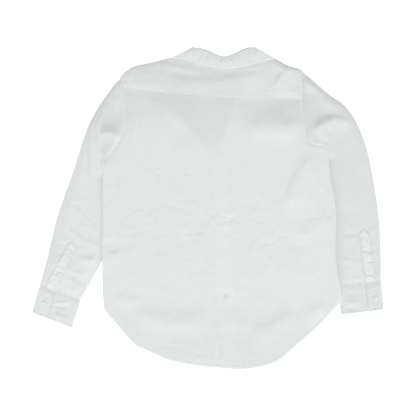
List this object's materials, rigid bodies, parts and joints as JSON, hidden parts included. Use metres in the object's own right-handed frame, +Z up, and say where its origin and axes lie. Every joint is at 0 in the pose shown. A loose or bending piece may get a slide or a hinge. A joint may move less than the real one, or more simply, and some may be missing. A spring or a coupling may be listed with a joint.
{
  "type": "button-up shirt",
  "caption": "Long-sleeved linen button-up shirt with a band collar, yoke, tower plackets and a shirt-tail hem, laid flat with its back up.",
  "frame": {"origin": "middle of the shirt's flat underside, on the surface it lies on", "axes": "+Z up, out of the back of the shirt; +Y towards the collar; +X towards the wearer's right sleeve"},
  "size_m": [0.8092, 0.7394, 0.0068],
  "materials": {
    "linen": "matte, softly crumpled plain weave",
    "button_shell": "softly glossy"
  },
  "bodies": {
    "root": {"back_panel": "linen", "yoke": "linen", "collar_band": "linen", "front_left": "linen", "front_right": "linen", "front_band_left": "linen", "front_band_right": "linen", "sleeve_left": "linen", "sleeve_right": "linen", "sleeve_placket_left": "linen", "sleeve_placket_right": "linen", "cuff_left": "linen", "cuff_right": "linen", "placket_button_left": "button_shell", "cuff_button_left": "button_shell", "placket_button_right": "button_shell", "cuff_button_right": "button_shell", "front_button_1": "button_shell", "front_button_2": "button_shell", "front_button_3": "button_shell", "front_button_4": "button_shell", "front_button_5": "button_shell"}
  },
  "joints": []
}
